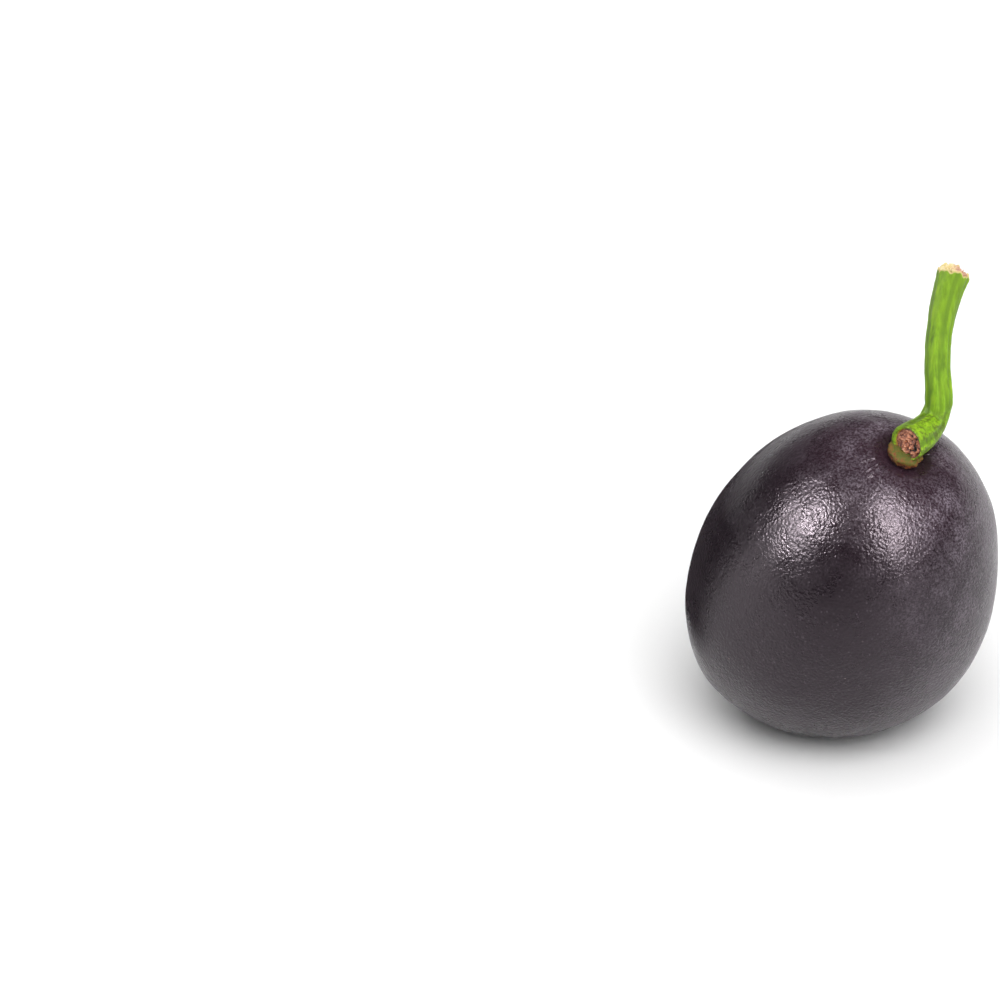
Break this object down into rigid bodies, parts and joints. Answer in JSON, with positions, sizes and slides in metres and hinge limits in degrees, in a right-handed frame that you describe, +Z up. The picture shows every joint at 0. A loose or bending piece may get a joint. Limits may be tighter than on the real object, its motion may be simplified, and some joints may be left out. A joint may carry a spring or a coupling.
{
  "type": "jamun",
  "caption": "Ripe jamun, a dark ovoid berry with a puckered stem hollow and a short elbow of green twig, lying on a small flat spot.",
  "frame": {"origin": "middle of the flat spot that the fruit rests on", "axes": "+Z up out of the surface that it rests on, +X to the side the stalk end leans to, -Y to the side that the twig's stub face shows on"},
  "size_m": [0.0256, 0.0244, 0.0414],
  "materials": {
    "skin": "satin",
    "stalk": "matte"
  },
  "bodies": {
    "root": {"fruit": "skin", "stalk": "stalk"}
  },
  "joints": []
}
